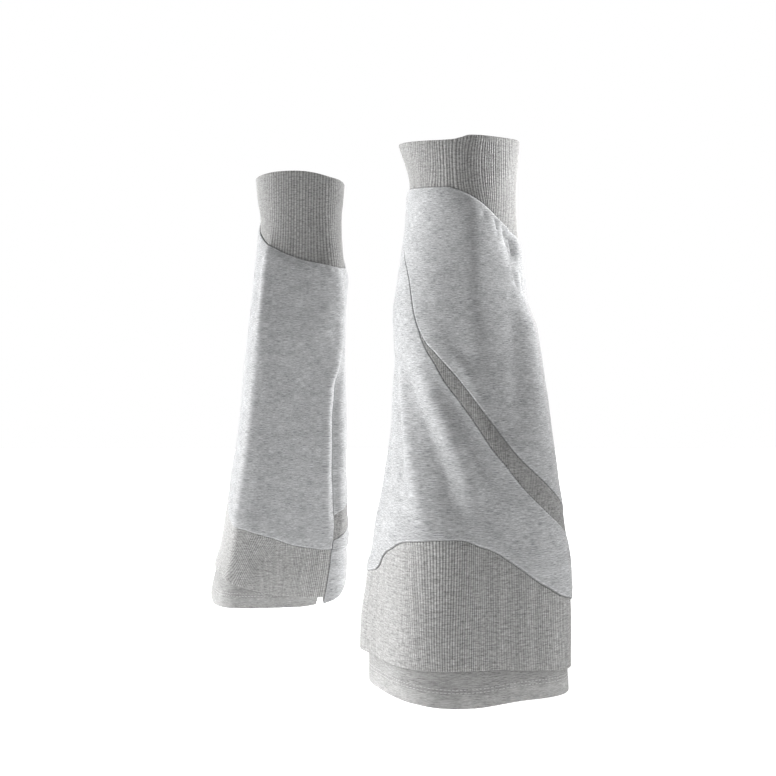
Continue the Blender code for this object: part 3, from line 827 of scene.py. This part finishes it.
def heather_jersey(name, yarns, lightest):
    """Loopback cotton jersey, heather yarn, brushed inside: matt, with a faint halo of loose fibre."""
    material, tree, shader, place = cotton(name, 0.92, 0.22)
    # Heather yarn shows as streaks a few stitches long and one course high
    long_streaks = heather_streaks(tree, place, 6.5 * MM, 0.65 * MM)
    short_streaks = heather_streaks(tree, place, 2.2 * MM, 0.45 * MM)
    cloudy = heather_streaks(tree, place, 22 * MM, 9 * MM, 1.0)
    streaks = overlaid(tree, 0.0, (long_streaks, 0.55), (short_streaks, 0.45))
    shade = overlaid(tree, -1.2, (streaks, 3.0), (cloudy, 0.4))
    heather_colour(tree, shader, shade, yarns, (0.0, lightest, 1.0))
    # Knit face: wales 1.1 mm apart and courses 0.8 mm, each stitch a small V
    knit = knit_stitches(tree, place, 1.1 * MM, 0.8 * MM)
    lumps = overlaid(tree, 0.0, (knit, 0.5), (streaks, 0.8))
    bump = add_node(tree, "Bump", {"Height": lumps, "Strength": 0.35, "Distance": 0.25 * MM})
    tree.links.new(bump, shader.inputs["Normal"])
    return material


def heather_rib_knit(name, yarns, groove, crown):
    """Cotton rib knit: raised knit wales between grooves of purl, which hold the shadow. Little light
    reaches the bottom of a groove, so the yarn there reads darker."""
    material, tree, shader, place = cotton(name, 0.9, 0.18)
    streaks = heather_streaks(tree, place, 2.6 * MM, 1.1 * MM)
    long_streaks = heather_streaks(tree, place, 9 * MM, 1.6 * MM)
    shade = overlaid(tree, -0.7, (streaks, 1.44), (long_streaks, 0.96))
    heather_colour(tree, shader, shade, yarns, (groove, crown, 0.9))
    knit = knit_stitches(tree, place, 1.2 * MM, 0.85 * MM)
    bump = add_node(tree, "Bump", {"Height": knit, "Strength": 0.3, "Distance": 0.2 * MM})
    tree.links.new(bump, shader.inputs["Normal"])
    return material


def spun_thread(name, colours):
    """Spun polyester sewing thread: a little brighter and smoother than the cotton round it."""
    material, tree, shader = new_material(name, {"Roughness": 0.6})
    twist = add_node(tree, "TexNoise", {"Scale": 1500.0, "Detail": 1.0})
    shaded = (*[c * 0.9 for c in colours.thread], 1)
    fibre = add_node(tree, "Mix", {"Factor": twist, 6: shaded, 7: (*colours.thread, 1)}, 2, data_type="RGBA")
    tree.links.new(fibre, shader.inputs["Base Color"])
    return material


def matt_floor(name, colours):
    """Matt painted studio floor that glows, more so further back, so that it reads as white."""
    sockets = {"Base Color": (*colours.floor, 1), "Roughness": 0.9, "Emission Color": (1, 1, 1, 1)}
    material, tree, shader = new_material(name, sockets)
    place = add_node(tree, "TexCoord", {}, "Object")
    away = add_node(tree, "SeparateXYZ", {"Vector": place}, "Y")
    glows = []
    for start, end, low, high in FLOOR_GLOWS:
        stretch = {"Value": away, "From Min": start, "From Max": end, "To Min": low, "To Max": high}
        glows.append(add_node(tree, "MapRange", stretch))
    glow = add_node(tree, "Math", dict(enumerate(glows)), operation="ADD")
    tree.links.new(glow, shader.inputs["Emission Strength"])
    return material


def material_named(name, colours):
    """The material of that name, made once."""
    jersey, rib = (colours.jersey_dark, colours.jersey_light), (colours.rib_dark, colours.rib_light)
    make, *given = {
        "brushed_heather_jersey": (heather_jersey, jersey, 1.0),
        # The under layers' jersey: the rib knit's yarns, a little darker at its lightest
        "washed_heather_jersey": (heather_jersey, rib, 0.96),
        "heather_rib_cuff": (heather_rib_knit, rib, 0.42, 1.00),
        "heather_rib_strip": (heather_rib_knit, rib, 0.36, 0.90),
        "heather_rib_band": (heather_rib_knit, rib, 0.33, 1.22),
        "spun_polyester_thread": (spun_thread, colours),
        "matt_studio_floor": (matt_floor, colours),
    }[name]
    return bpy.data.materials.get(name) or make(name, *given)


# --- Pieces ---------------------------------------------------------------------------------------


def span(start, end, step):
    """Even cut angles from start to end, about a step apart."""
    return np.linspace(start, end, max(2, int(round((end - start) / step)) + 1))


def with_end_columns(columns, reach):
    """Adds columns near both ends, where the cloth rolls."""
    near_end = np.degrees(EDGE_STEPS[1:] * reach / SEAM_RADIUS)
    start, end, clear = columns[0], columns[-1], near_end[-1] * 1.3
    inner = columns[(columns > start + clear) & (columns < end - clear)]
    return np.concatenate([[start], start + near_end, inner, end - near_end[::-1], [end]])


def wrap_line(leg, angle):
    """The wrap panel's lower edge, which starts at the cuff seam."""
    return np.minimum(open_line(WRAP_EDGE, angle), round_line(leg.cuff_seam, angle) - POINT_WIDTH)


def strip_foot(leg, angle):
    return wrap_line(leg, angle) - open_line(STRIP_DROP, angle)


class ClothOperator:
    """What the operators that lay a cut piece on each leg share. Each has a wall method."""

    bl_options = {"REGISTER", "UNDO"}
    slot, finish, held, rests_on = "heather_jersey", "brushed_heather_jersey", "hung", ()

    def execute(self, context):
        sizes, colours = context.scene.cloth_sizes, context.scene.cloth_colours
        material = material_named(self.finish, colours)
        for leg in PAIR:
            piece = lay(f"{leg.name}_{self.cloth}_cloth", leg, self.wall(leg, sizes), material)
            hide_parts(f"{leg.name}_{self.part}")
            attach(piece, "root")
        return {"FINISHED"}


class CLOTH_OT_rib_cuffs(ClothOperator, bpy.types.Operator):
    """Lays the doubled rib cuffs round the legs"""

    bl_idname = "cloth.rib_cuffs"
    bl_label = "Rib cuffs"
    cloth, part, slot, finish, held = "cuff", "rib_cuff", "heather_rib", "heather_rib_cuff", "stretched"

    def wall(self, leg, sizes):
        count = sizes.cuff_ribs * CUFF_RIB_POINTS
        columns = np.arange(count) * TURN / count + BACK_SEAM - TURN
        return Wall(
            columns,
            round_line(leg.cuff_seam, columns) - CUFF_TUCK,
            round_line(leg.cuff_top, columns),
            cuff_face,
            sizes.cuff_rib,
            (Edge(3 * MM, 0.5, 0.5), Edge(sizes.cuff_rib / 2, 0.5)),
            row_step=3 * MM,
            inner_rows=5,
            ribs=Ribs(sizes.cuff_ribs, sizes.cuff_relief, leg.seed + 1, leg.cuff_leans),
            folds=(leg.folds,),
        )


class CLOTH_OT_upper_panels(ClothOperator, bpy.types.Operator):
    """Lays the wrap panels that run to a point at the cuff"""

    bl_idname = "cloth.upper_panels"
    bl_label = "Upper panels"
    cloth, part, rests_on = "upper_panel", "upper_panel", ("rib_cuff",)

    def wall(self, leg, sizes):
        columns = with_end_columns(span(WRAP_POINT, BACK_SEAM - END_GAP, JERSEY_STEP), sizes.roll)
        lapped = Edge(sizes.roll, 0.8, 0.45)
        return Wall(
            columns,
            wrap_line(leg, columns) + PANEL_GAP,
            round_line(leg.cuff_seam, columns),
            body_face,
            sizes.jersey,
            (lapped, Edge(sizes.roll, 0.7, 0.35), lapped),
            folds=(leg.folds, leg.creases),
            painted_shade=painted_pinch_shade,
        )


class CLOTH_OT_rib_strips(ClothOperator, bpy.types.Operator):
    """Lays the rib strips that wind down between the panels"""

    bl_idname = "cloth.rib_strips"
    bl_label = "Rib strips"
    cloth, part, rests_on = "strip", "rib_strip", ("upper_panel",)
    slot, finish = "heather_rib", "heather_rib_strip"

    def wall(self, leg, sizes):
        columns = span(STRIP_START, BACK_SEAM - END_GAP, TURN / sizes.strip_ribs / RIB_POINTS)
        return Wall(
            columns,
            strip_foot(leg, columns) - RIB_TUCK,
            wrap_line(leg, columns) + RIB_TUCK,
            strip_face,
            sizes.jersey,
            (STRIP_SIDE, STRIP_SIDE, STRIP_END),
            row_step=5 * MM,
            inner_rows=3,
            ribs=Ribs(sizes.strip_ribs, sizes.rib_relief * 0.7, leg.seed + 2),
            folds=(leg.folds,),
        )


class CLOTH_OT_lower_panels(ClothOperator, bpy.types.Operator):
    """Lays the lower panels, all round the leg under the strips"""

    bl_idname = "cloth.lower_panels"
    bl_label = "Lower panels"
    cloth, part, rests_on = "lower_panel", "lower_panel", ("rib_cuff", "rib_strip")

    def wall(self, leg, sizes):
        # Finer along the steep part of its top
        spans = (
            span(BACK_SEAM - TURN + END_GAP, WRAP_POINT - 1.2, JERSEY_STEP),
            span(WRAP_POINT - 0.5, STRIP_START + 6, 0.7),
            span(STRIP_START + 7, BACK_SEAM - END_GAP, JERSEY_STEP),
        )
        columns = with_end_columns(np.concatenate(spans), sizes.roll)
        under_wrap, under_strip = wrap_line(leg, columns) - PANEL_GAP, strip_foot(leg, columns)
        under_body = np.where(columns < STRIP_START, under_wrap, under_strip)
        lapped = Edge(sizes.roll, 0.8, 0.45)
        return Wall(
            columns,
            round_line(leg.band_seam, columns),
            np.where(columns < WRAP_POINT, round_line(leg.cuff_seam, columns), under_body),
            body_face,
            sizes.jersey,
            (Edge(sizes.roll, 0.8, 0.35), lapped, lapped),
            row_step=3.2 * MM,
            inner_rows=14,
            folds=(leg.folds, leg.creases),
            extra=band_puff,
        )


class CLOTH_OT_rib_bands(ClothOperator, bpy.types.Operator):
    """Lays the wide rib bands round the flared hems"""

    bl_idname = "cloth.rib_bands"
    bl_label = "Rib bands"
    cloth, part, rests_on = "band", "rib_band", ("lower_panel",)
    slot, finish = "heather_rib", "heather_rib_band"

    def wall(self, leg, sizes):
        columns = span(BACK_SEAM - TURN + END_GAP, INSERT_START, TURN / sizes.band_ribs / RIB_POINTS)
        return Wall(
            columns,
            round_line(leg.band_hem, columns),
            round_line(leg.band_seam, columns) + RIB_TUCK,
            band_face,
            sizes.rib,
            (Edge(sizes.rib / 2, 0.5), BAND_TOP, BAND_END),
            row_step=4 * MM,
            inner_rows=5,
            ribs=Ribs(sizes.band_ribs, sizes.rib_relief, leg.seed + 3, leg.band_leans),
            folds=(leg.folds,),
        )


class CLOTH_OT_side_inserts(ClothOperator, bpy.types.Operator):
    """Lays the jersey inserts beside the lengthwise seams at the hem"""

    bl_idname = "cloth.side_inserts"
    bl_label = "Side inserts"
    cloth, part, rests_on = "insert", "side_insert", ("lower_panel",)

    def wall(self, leg, sizes):
        columns = with_end_columns(span(INSERT_START + 0.1, BACK_SEAM - END_GAP, 1.0), BAND_END.reach)
        return Wall(
            columns,
            open_line(INSERT_HEM, columns),
            round_line(leg.band_seam, columns) + RIB_TUCK,
            band_face,
            sizes.jersey,
            (Edge(sizes.jersey / 2, 0.5), BAND_TOP, BAND_END),
            inner_rows=6,
            folds=(leg.folds,),
        )


class CLOTH_OT_under_layers(ClothOperator, bpy.types.Operator):
    """Lays the jersey tubes that show below the bands, with their slits"""

    bl_idname = "cloth.under_layers"
    bl_label = "Under layers"
    cloth, part, finish, rests_on = "under", "under_layer", "washed_heather_jersey", ("rib_band",)

    def wall(self, leg, sizes):
        columns = span(BACK_SEAM - TURN, BACK_SEAM, UNDER_STEP)[:-1]
        slit = SLIT_MIDDLE + np.linspace(-1.15, 1.15, 13) * SLIT_HALF
        columns = np.sort(np.concatenate([columns[abs(columns - SLIT_MIDDLE) > 1.5 * SLIT_HALF], slit]))
        notch = SLIT_HEIGHT * rolled(abs(columns - SLIT_MIDDLE), SLIT_HALF) ** 0.6
        return Wall(
            columns,
            round_line(leg.under_hem, columns) + notch,
            round_line(leg.band_seam, columns) - UNDER_TUCK,
            lambda *place: under_face(*place, sizes.rib),
            sizes.jersey,
            (Edge(sizes.jersey / 2, 0.5), Edge(sizes.jersey / 2, 0.5)),
            row_step=2.2 * MM,
            extra=hem_relief,
            painted_shade=painted_hem_shade,
            uneven=UNDER_UNEVEN,
        )


def stitch_rings(leg, row, rib):
    """Points of one row of stitches: by stitch, by station along it, and round the thread."""
    along = np.array([-1, -0.8, -0.35, 0.35, 0.8, 1])
    thick = np.array([0.15, 0.75, 1, 1, 0.75, 0.15])
    round_thread = np.radians(np.arange(6) * 60 + 30)[:, None]
    angle = np.arange(BACK_SEAM - TURN, BACK_SEAM, 0.05)
    height = round_line(leg.under_hem, angle) + row
    hem = cloth(leg, angle, height, under_face(leg, angle, height, rib), ())
    run = np.concatenate([[0], np.cumsum(np.linalg.norm(np.diff(hem, axis=0), axis=1))])
    count = int(run[-1] / (STITCH_LENGTH + STITCH_GAP))
    middle = (np.arange(count) + 0.5) * run[-1] / count
    where = np.interp(middle[:, None] + along * STITCH_LENGTH / 2, run, angle)
    where = where[abs(where[:, 3] - SLIT_MIDDLE) >= SLIT_HALF + 1]
    high = round_line(leg.under_hem, where) + row
    out = under_face(leg, where, high, rib) + hem_relief(leg, where, high)
    out = out + ripple(leg, where, high, UNDER_UNEVEN)
    face = cloth(leg, where, high, out, ())
    normal = (cloth(leg, where, high, out + 1 * MM, ()) - face) / MM
    forward = face[:, -1:] - face[:, :1]
    up = np.cross(normal, forward / np.linalg.norm(forward, axis=-1, keepdims=True))
    ring = np.cos(round_thread) * normal[:, :, None] + np.sin(round_thread) * up[:, :, None]
    return (face + THREAD_LIFT * normal)[:, :, None] + THREAD * thick[:, None, None] * ring


class CLOTH_OT_hem_stitches(bpy.types.Operator):
    """Sews the two rows of stitches round the under layers' hems"""

    bl_idname = "cloth.hem_stitches"
    bl_label = "Hem stitches"
    bl_options = {"REGISTER", "UNDO"}

    def execute(self, context):
        sizes, colours = context.scene.cloth_sizes, context.scene.cloth_colours
        thread = material_named("spun_polyester_thread", colours)
        # One stitch has six stations of six points, and a cap on each end
        turns = [(a, b, (b + 1) % 6) for a in range(0, 30, 6) for b in range(6)]
        stitch = [(a + b, a + c, a + 6 + c, a + 6 + b) for a, b, c in turns]
        stitch += [tuple(range(5, -1, -1)), tuple(range(30, 36))]
        for leg in PAIR:
            rings = [stitch_rings(leg, row, sizes.rib) for row in STITCH_ROWS]
            points = np.concatenate(rings).reshape(-1, 3)
            faces = [[first + k for k in face] for first in range(0, len(points), 36) for face in stitch]
            piece = new_piece(f"{leg.name}_hem_stitches", points, faces, thread)
            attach(piece, "root")
        return {"FINISHED"}


# --- Studio ---------------------------------------------------------------------------------------

FLOOR_MIDDLE, FLOOR_SIZE = (-0.1, 0.6), 5

# Soft boxes: azimuth from the front, height, power, and what a flag keeps the box off
BOX_AIM, BOX_DISTANCE = (-0.09, 0.2, -0.2), 3.0
BOX_WIDTH, BOX_HEIGHT = 0.9, 2.4
BOXES = (
    ("left_box", -84, 0.95, 93, ("far",)),
    ("left_rear_box", -115, 0.95, 42, ()),
    ("far_left_box", -112, 0.95, 80, ("near",)),
    ("right_box", 93, 0.95, 44, ("far",)),
    ("far_right_box", 90, 0.95, 31, ("near", "studio", "far_cuff")),
    ("far_right_rear_box", 132, 0.95, 130, ("near", "studio")),
    ("front_fill", 0, 3.0, 31, ()),
    ("low_box", 28, 0.3, 8, ("far", "near_cuff", "near_upper", "near_strip", "near_band")),
)

# Spots keep to the top of the first leg warmer and to its calf's edge: place, aim, cone, power
SPOTS = (
    ("right_spot", (1.5, 0.22, 0.14), (0, 0, -0.005), 9, 185),
    ("edge_spot", (1.15, 1.0, -0.05), (0.05, 0, -0.115), 8, 130),
)
SPOT_BLEND, SPOT_RADIUS = 0.8, 0.10
WORLD_LIGHT = 0.03

CAMERA_PLACE = (-0.0672, -1.50, -0.0919)
CAMERA_PITCH = 3.34  # degrees below the level
CAMERA_LENS, CAMERA_SENSOR = 79.74, 36  # mm


def stand_lamp(scene, light, place, aim, flagged):
    """Stands a lamp at a place, turned to its aim, with flags that keep it off some pieces."""
    lamp = bpy.data.objects.new(light.name, light)
    scene.collection.objects.link(lamp)
    lamp.location = place
    lamp.rotation_euler = (aim - place).to_track_quat("-Z", "Y").to_euler()
    if flagged:
        flag = bpy.data.collections.new(f"{light.name}_flag")
        meshes = [each for each in scene.objects if each.type == "MESH"]
        for piece in [mesh for mesh in meshes if mesh.name.startswith(flagged)]:
            flag.objects.link(piece)
        lamp.light_linking.receiver_collection = flag
        for entry in flag.collection_objects:
            entry.light_linking.link_state = "EXCLUDE"


class STUDIO_OT_sweep(bpy.types.Operator):
    """Sets the floor, the lights and the camera"""

    bl_idname = "studio.sweep"
    bl_label = "Studio sweep"
    bl_options = {"REGISTER", "UNDO"}

    def execute(self, context):
        scene, colours = context.scene, context.scene.cloth_colours
        place = (*FLOOR_MIDDLE, -FLOOR_DROP)
        bpy.ops.mesh.primitive_grid_add(x_subdivisions=4, y_subdivisions=4, size=FLOOR_SIZE, location=place)
        floor = context.active_object
        floor.name = "studio_floor"
        floor.data.materials.append(material_named("matt_studio_floor", colours))

        # White behind the object, and little light from it
        scene.world = bpy.data.worlds.new("white_sweep")
        scene.world.use_nodes = True
        tree = scene.world.node_tree
        dim = tree.nodes["Background"]
        dim.inputs["Color"].default_value = (1, 1, 1, 1)
        dim.inputs["Strength"].default_value = WORLD_LIGHT
        white = add_node(tree, "Background", {"Color": (1, 1, 1, 1), "Strength": 1.0})
        seen = add_node(tree, "LightPath", {}, "Is Camera Ray")
        both = add_node(tree, "MixShader", {0: seen, 1: dim.outputs["Background"], 2: white})
        tree.links.new(both, tree.nodes["World Output"].inputs["Surface"])

        aim = Vector(BOX_AIM)
        for name, azimuth, height, power, flagged in BOXES:
            light = bpy.data.lights.new(name, "AREA")
            light.shape, light.size, light.size_y = "RECTANGLE", BOX_WIDTH, BOX_HEIGHT
            light.energy = power
            turned = math.radians(azimuth)
            reach = Vector((BOX_DISTANCE * math.sin(turned), -BOX_DISTANCE * math.cos(turned), height))
            stand_lamp(scene, light, aim + reach, aim, flagged)
        for name, place, aim, cone, power in SPOTS:
            light = bpy.data.lights.new(name, "SPOT")
            light.energy, light.spot_size = power, math.radians(cone)
            light.spot_blend, light.shadow_soft_size = SPOT_BLEND, SPOT_RADIUS
            stand_lamp(scene, light, Vector(place), Vector(aim), ("far", "studio"))

        camera = bpy.data.objects.new("camera", bpy.data.cameras.new("camera"))
        scene.collection.objects.link(camera)
        camera.location = CAMERA_PLACE
        camera.rotation_euler = (math.radians(90 - CAMERA_PITCH), 0, 0)
        camera.data.lens, camera.data.sensor_width = CAMERA_LENS, CAMERA_SENSOR
        scene.camera = camera
        scene.view_settings.view_transform = "Standard"
        return {"FINISHED"}


# --- Panel and registration -----------------------------------------------------------------------

STEPS = (
    CLOTH_OT_rib_cuffs,
    CLOTH_OT_upper_panels,
    CLOTH_OT_rib_strips,
    CLOTH_OT_lower_panels,
    CLOTH_OT_rib_bands,
    CLOTH_OT_side_inserts,
    CLOTH_OT_under_layers,
    CLOTH_OT_hem_stitches,
    STUDIO_OT_sweep,
)


class CLOTH_PT_leg_warmers(bpy.types.Panel):
    """Lists the sizes, the colours and the steps"""

    bl_idname = "CLOTH_PT_leg_warmers"
    bl_label = "Leg warmers"
    bl_space_type = "VIEW_3D"
    bl_region_type = "UI"
    bl_category = "Leg warmers"

    def draw(self, context):
        for settings in (context.scene.cloth_sizes, context.scene.cloth_colours):
            box = self.layout.box()
            for name in settings.__annotations__:
                box.prop(settings, name)
        for step in STEPS:
            self.layout.operator(step.bl_idname)


CLASSES = (ClothSizes, ClothColours, *STEPS, CLOTH_PT_leg_warmers)


def register():
    for each in CLASSES:
        bpy.utils.register_class(each)
    bpy.types.Scene.cloth_sizes = PointerProperty(type=ClothSizes)
    bpy.types.Scene.cloth_colours = PointerProperty(type=ClothColours)


def unregister():
    del bpy.types.Scene.cloth_sizes, bpy.types.Scene.cloth_colours
    for each in reversed(CLASSES):
        bpy.utils.unregister_class(each)


def main():
    register()
    bpy.ops.cloth.rib_cuffs()
    bpy.ops.cloth.upper_panels()
    bpy.ops.cloth.rib_strips()
    bpy.ops.cloth.lower_panels()
    bpy.ops.cloth.rib_bands()
    bpy.ops.cloth.side_inserts()
    bpy.ops.cloth.under_layers()
    bpy.ops.cloth.hem_stitches()
    bpy.ops.studio.sweep()


if __name__ == "__main__":
    main()
